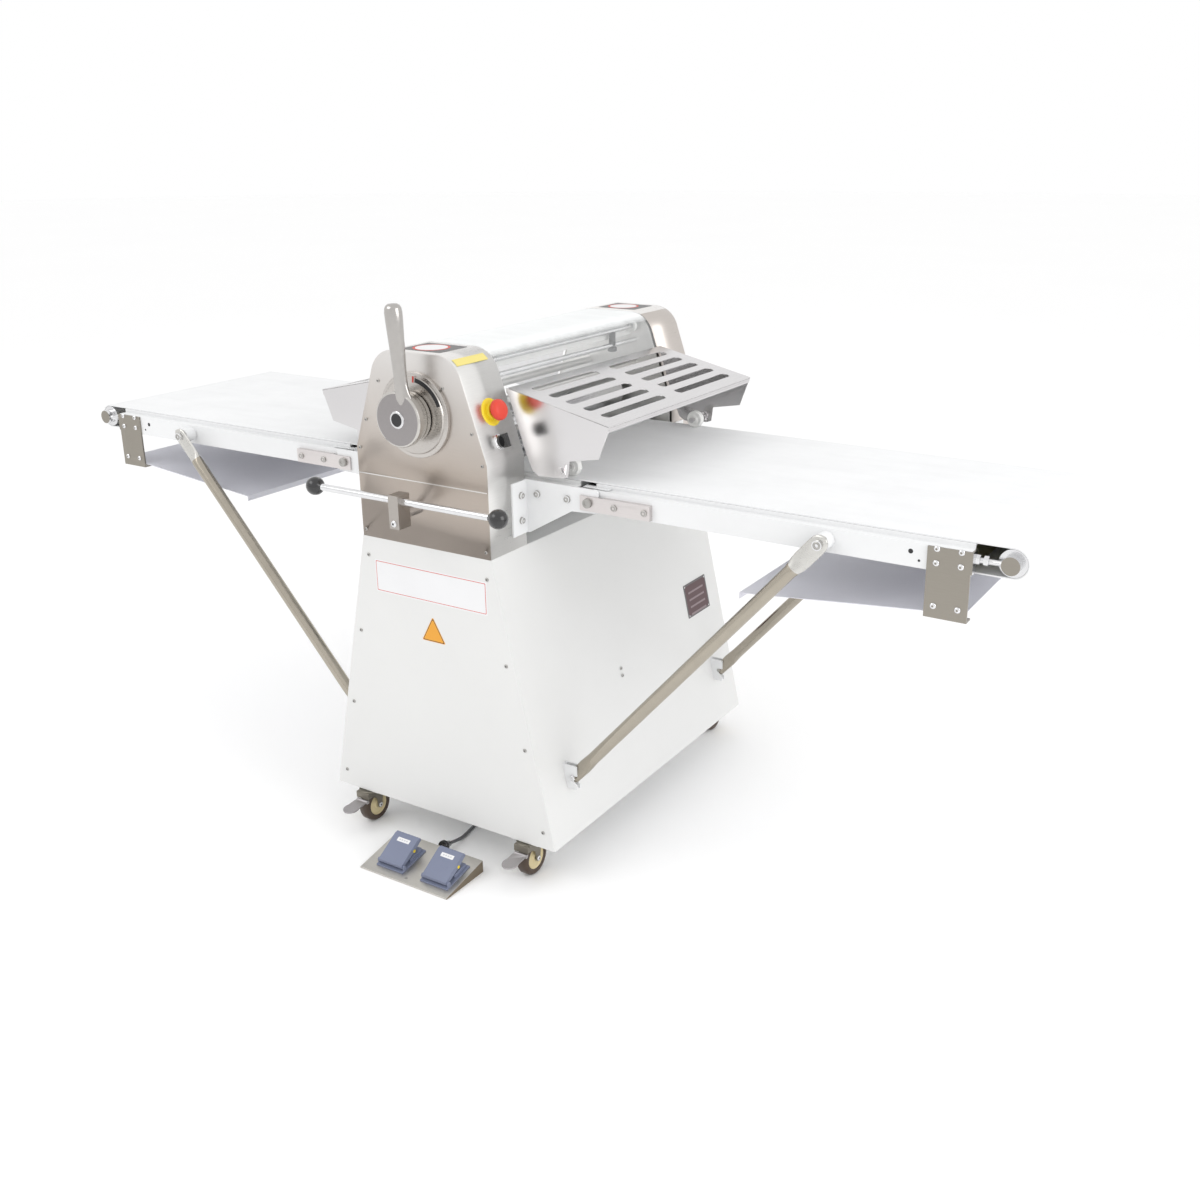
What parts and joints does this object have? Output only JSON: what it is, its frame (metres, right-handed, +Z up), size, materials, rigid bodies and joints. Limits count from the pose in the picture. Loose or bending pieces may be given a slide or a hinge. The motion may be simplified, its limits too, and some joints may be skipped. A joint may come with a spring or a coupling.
{
  "type": "dough sheeter",
  "caption": "Floor-standing reversible dough sheeter with folding belt tables, sheeting rollers, guards, gap lever, direction bar and a foot switch.",
  "frame": {"origin": "on the floor under the middle of the cabinet, between the four casters", "axes": "+X along the belts to the right-hand table, -Y towards the operator, +Z up"},
  "size_m": [2.2534, 0.9775, 1.1486],
  "materials": {
    "white_paint": "smooth powder coat",
    "zinc_steel": "zinc plated",
    "stainless": "fine brushed",
    "clear_acrylic": "clear",
    "white_plastic": "satin nylon",
    "motor_paint": "satin",
    "black_rubber": "matte",
    "ground_roller": "ground smooth",
    "chrome_steel": "polished",
    "black_plastic": "glossy",
    "yellow_plastic": "satin",
    "red_plastic": "satin",
    "grey_enamel": "satin",
    "grey_cable": "matte",
    "belt_white": "coated food belt",
    "grey_sheet": "matte grey",
    "brown_tyre": "matte"
  },
  "bodies": {
    "cabinet": {"cabinet_frame": "white_paint", "cabinet_side_panels": "white_paint", "cabinet_end_panels": "white_paint", "panel_screws": "zinc_steel", "head_side_plates": "stainless", "head_cover_front": "stainless", "head_cover_rear": "stainless", "table_brackets": "white_paint", "inner_beds": "white_paint", "hood": "clear_acrylic", "flour_tray": "white_plastic", "gear_motor": "motor_paint", "drive_belt": "black_rubber", "bearing_blocks": "zinc_steel", "scrapers": "stainless", "lever_scale": "stainless", "switch_bases": "yellow_plastic", "foot_switch_base": "stainless", "foot_switch_housings": "grey_enamel", "foot_cord": "grey_cable", "foot_cord_coil": "grey_cable"},
    "motor_shaft": {"drive_pulley": "zinc_steel"},
    "lower_roller": {"bottom_roller": "ground_roller"},
    "carriage": {"roller_carriage": "zinc_steel"},
    "upper_roller": {"top_roller": "ground_roller"},
    "lever": {"gap_lever": "chrome_steel"},
    "direction_lever": {"direction_bar": "chrome_steel", "bar_knobs": "black_plastic"},
    "stop_head": {"stop_button": "red_plastic"},
    "selector": {"selector_knob": "black_plastic"},
    "guard_right": {"guard_right": "stainless"},
    "guard_rollers_right": {"guard_rollers_right": "white_plastic"},
    "table_right": {"table_frame_right": "white_paint", "table_fittings_right": "stainless", "belt_right": "belt_white", "tray_right": "grey_sheet"},
    "drive_roller_right": {"drive_roller_right": "ground_roller"},
    "tail_roller_right": {"tail_roller_right": "ground_roller"},
    "struts_right": {"struts_right": "stainless"},
    "guard_left": {"guard_left": "stainless"},
    "guard_rollers_left": {"guard_rollers_left": "white_plastic"},
    "table_left": {"table_frame_left": "white_paint", "table_fittings_left": "stainless", "belt_left": "belt_white", "tray_left": "grey_sheet"},
    "drive_roller_left": {"drive_roller_left": "ground_roller"},
    "tail_roller_left": {"tail_roller_left": "ground_roller"},
    "struts_left": {"struts_left": "stainless"},
    "caster_front_right": {"caster_fork_front_right": "zinc_steel"},
    "wheel_front_right": {"caster_wheel_front_right": "brown_tyre"},
    "brake_right": {"brake_pedal_right": "zinc_steel"},
    "caster_front_left": {"caster_fork_front_left": "zinc_steel"},
    "wheel_front_left": {"caster_wheel_front_left": "brown_tyre"},
    "brake_left": {"brake_pedal_left": "zinc_steel"},
    "caster_rear_right": {"caster_fork_rear_right": "zinc_steel"},
    "wheel_rear_right": {"caster_wheel_rear_right": "brown_tyre"},
    "caster_rear_left": {"caster_fork_rear_left": "zinc_steel"},
    "wheel_rear_left": {"caster_wheel_rear_left": "brown_tyre"},
    "treadle_right": {"treadle_right": "grey_enamel"},
    "treadle_left": {"treadle_left": "grey_enamel"}
  },
  "joints": [
    {"name": "lower_roller_spin", "type": "hinge", "parent": "cabinet", "child": "lower_roller", "pos_m": [0, 0, 0.764], "axis": [0, 1, 0], "continuous": true},
    {"name": "motor_spin", "type": "hinge", "parent": "cabinet", "child": "motor_shaft", "pos_m": [0, 0.33, 0.33], "axis": [0, 1, 0], "continuous": true},
    {"name": "gap_lever_turn", "type": "hinge", "parent": "cabinet", "child": "lever", "pos_m": [0, -0.4, 0.935], "axis": [0, 1, 0], "range_deg": [-70, 80]},
    {"name": "carriage_lift", "type": "slide", "parent": "cabinet", "child": "carriage", "axis": [0, 0, 1], "range_m": [-0.0165, 0.0188]},
    {"name": "upper_roller_spin", "type": "hinge", "parent": "carriage", "child": "upper_roller", "pos_m": [0, 0, 0.869], "axis": [0, 1, 0], "continuous": true},
    {"name": "direction_turn", "type": "hinge", "parent": "cabinet", "child": "direction_lever", "pos_m": [-0.01, -0.455, 0.752], "axis": [0, 1, 0], "range_deg": [-12, 12]},
    {"name": "stop_press", "type": "slide", "parent": "cabinet", "child": "stop_head", "axis": [-0.9487, 0, -0.3162], "range_m": [0, 0.005], "stiffness_N_per_m": 600, "springref_m": -0.004},
    {"name": "selector_turn", "type": "hinge", "parent": "cabinet", "child": "selector", "pos_m": [0.14967, -0.345, 0.889], "axis": [0.9487, 0, 0.3162], "range_deg": [-45, 45]},
    {"name": "guard_right_lift", "type": "hinge", "parent": "cabinet", "child": "guard_right", "pos_m": [0.129, 0, 0.975], "axis": [0, -1, 0], "range_deg": [0, 75]},
    {"name": "guard_rollers_right_spin", "type": "hinge", "parent": "guard_right", "child": "guard_rollers_right", "pos_m": [0.245, 0, 0.8321], "axis": [0, 1, 0], "continuous": true},
    {"name": "table_right_fold", "type": "hinge", "parent": "cabinet", "child": "table_right", "pos_m": [0.309, 0, 0.779], "axis": [0, -1, 0], "range_deg": [0, 55], "deforming": ["belt_right"]},
    {"name": "drive_roller_right_spin", "type": "hinge", "parent": "cabinet", "child": "drive_roller_right", "pos_m": [0.082, 0, 0.787], "axis": [0, 1, 0], "continuous": true},
    {"name": "tail_roller_right_spin", "type": "hinge", "parent": "table_right", "child": "tail_roller_right", "pos_m": [1.1, 0, 0.787], "axis": [0, 1, 0], "continuous": true},
    {"name": "struts_right_swing", "type": "hinge", "parent": "table_right", "child": "struts_right", "pos_m": [0.788, 0, 0.783], "axis": [0, -1, 0], "range_deg": [0, 38]},
    {"name": "guard_left_lift", "type": "hinge", "parent": "cabinet", "child": "guard_left", "pos_m": [-0.129, 0, 0.975], "axis": [0, 1, 0], "range_deg": [0, 75]},
    {"name": "guard_rollers_left_spin", "type": "hinge", "parent": "guard_left", "child": "guard_rollers_left", "pos_m": [-0.245, 0, 0.8321], "axis": [0, 1, 0], "continuous": true},
    {"name": "table_left_fold", "type": "hinge", "parent": "cabinet", "child": "table_left", "pos_m": [-0.309, 0, 0.779], "axis": [0, 1, 0], "range_deg": [0, 55], "deforming": ["belt_left"]},
    {"name": "drive_roller_left_spin", "type": "hinge", "parent": "cabinet", "child": "drive_roller_left", "pos_m": [-0.082, 0, 0.787], "axis": [0, 1, 0], "continuous": true},
    {"name": "tail_roller_left_spin", "type": "hinge", "parent": "table_left", "child": "tail_roller_left", "pos_m": [-1.1, 0, 0.787], "axis": [0, 1, 0], "continuous": true},
    {"name": "struts_left_swing", "type": "hinge", "parent": "table_left", "child": "struts_left", "pos_m": [-0.788, 0, 0.783], "axis": [0, 1, 0], "range_deg": [0, 38]},
    {"name": "caster_front_right_swivel", "type": "hinge", "parent": "cabinet", "child": "caster_front_right", "pos_m": [0.213, -0.385, 0.07], "axis": [0, 0, 1], "continuous": true},
    {"name": "wheel_front_right_spin", "type": "hinge", "parent": "caster_front_right", "child": "wheel_front_right", "pos_m": [0.213, -0.375, 0.0375], "axis": [-1, 0, 0], "continuous": true},
    {"name": "brake_right_release", "type": "hinge", "parent": "caster_front_right", "child": "brake_right", "pos_m": [0.213, -0.411, 0.0585], "axis": [-1, 0, 0], "range_deg": [0, 20]},
    {"name": "caster_front_left_swivel", "type": "hinge", "parent": "cabinet", "child": "caster_front_left", "pos_m": [-0.213, -0.385, 0.07], "axis": [0, 0, 1], "continuous": true},
    {"name": "wheel_front_left_spin", "type": "hinge", "parent": "caster_front_left", "child": "wheel_front_left", "pos_m": [-0.213, -0.375, 0.0375], "axis": [-1, 0, 0], "continuous": true},
    {"name": "brake_left_release", "type": "hinge", "parent": "caster_front_left", "child": "brake_left", "pos_m": [-0.213, -0.411, 0.0585], "axis": [-1, 0, 0], "range_deg": [0, 20]},
    {"name": "caster_rear_right_swivel", "type": "hinge", "parent": "cabinet", "child": "caster_rear_right", "pos_m": [0.213, 0.385, 0.07], "axis": [0, 0, 1], "continuous": true},
    {"name": "wheel_rear_right_spin", "type": "hinge", "parent": "caster_rear_right", "child": "wheel_rear_right", "pos_m": [0.213, 0.395, 0.0375], "axis": [-1, 0, 0], "continuous": true},
    {"name": "caster_rear_left_swivel", "type": "hinge", "parent": "cabinet", "child": "caster_rear_left", "pos_m": [-0.213, 0.385, 0.07], "axis": [0, 0, 1], "continuous": true},
    {"name": "wheel_rear_left_spin", "type": "hinge", "parent": "caster_rear_left", "child": "wheel_rear_left", "pos_m": [-0.213, 0.395, 0.0375], "axis": [-1, 0, 0], "continuous": true},
    {"name": "treadle_right_press", "type": "hinge", "parent": "cabinet", "child": "treadle_right", "pos_m": [0.079, -0.51929, 0.01922], "axis": [-1, 0, 0], "range_deg": [0, 8], "stiffness_Nm_per_rad": 6, "springref_deg": -8.59},
    {"name": "treadle_left_press", "type": "hinge", "parent": "cabinet", "child": "treadle_left", "pos_m": [-0.037, -0.51929, 0.01922], "axis": [-1, 0, 0], "range_deg": [0, 8], "stiffness_Nm_per_rad": 6, "springref_deg": -8.59}
  ],
  "couplings": [
    {"joint": "motor_spin", "follows": "lower_roller_spin", "ratio": 1.5625},
    {"joint": "carriage_lift", "follows": "gap_lever_turn", "m_per_rad": 0.01337},
    {"joint": "upper_roller_spin", "follows": "lower_roller_spin", "ratio": -1},
    {"joint": "drive_roller_right_spin", "follows": "lower_roller_spin", "ratio": 1.6418},
    {"joint": "tail_roller_right_spin", "follows": "lower_roller_spin", "ratio": 1.6418},
    {"joint": "drive_roller_left_spin", "follows": "lower_roller_spin", "ratio": 1.6418},
    {"joint": "tail_roller_left_spin", "follows": "lower_roller_spin", "ratio": 1.6418}
  ]
}
